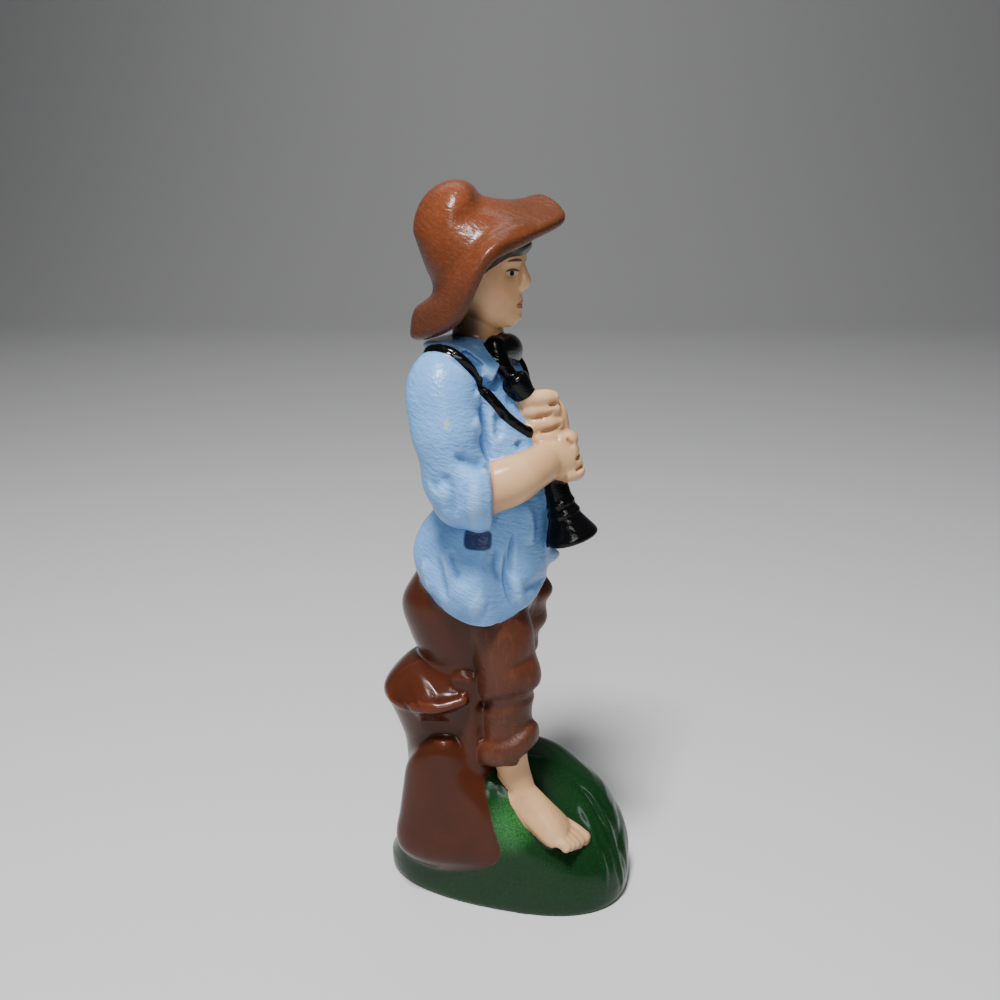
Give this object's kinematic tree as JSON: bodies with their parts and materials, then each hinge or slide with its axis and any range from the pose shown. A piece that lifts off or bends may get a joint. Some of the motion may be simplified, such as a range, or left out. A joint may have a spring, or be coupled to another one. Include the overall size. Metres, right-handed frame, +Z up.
{
  "type": "nativity shepherd figurine",
  "caption": "Glossy hand-painted cast figurine of a barefoot shepherd boy in a floppy hat playing a shawm, standing against a tree stump on a green mound.",
  "frame": {"origin": "centre of the flat underside of the mound, on the table", "axes": "+Z up, the boy faces -Y, his right side is towards -X"},
  "size_m": [0.0553, 0.065, 0.18],
  "materials": {
    "painted_glaze": "hand-painted and varnished cast pottery: caramel-brown hat, light-blue smock, red-brown trousers and stump, black strap and pipe, beige skin, dark pearly green mound, all glossy with fine brush marks"
  },
  "bodies": {
    "root": {"shepherd_boy_figurine": "painted_glaze"}
  },
  "joints": []
}
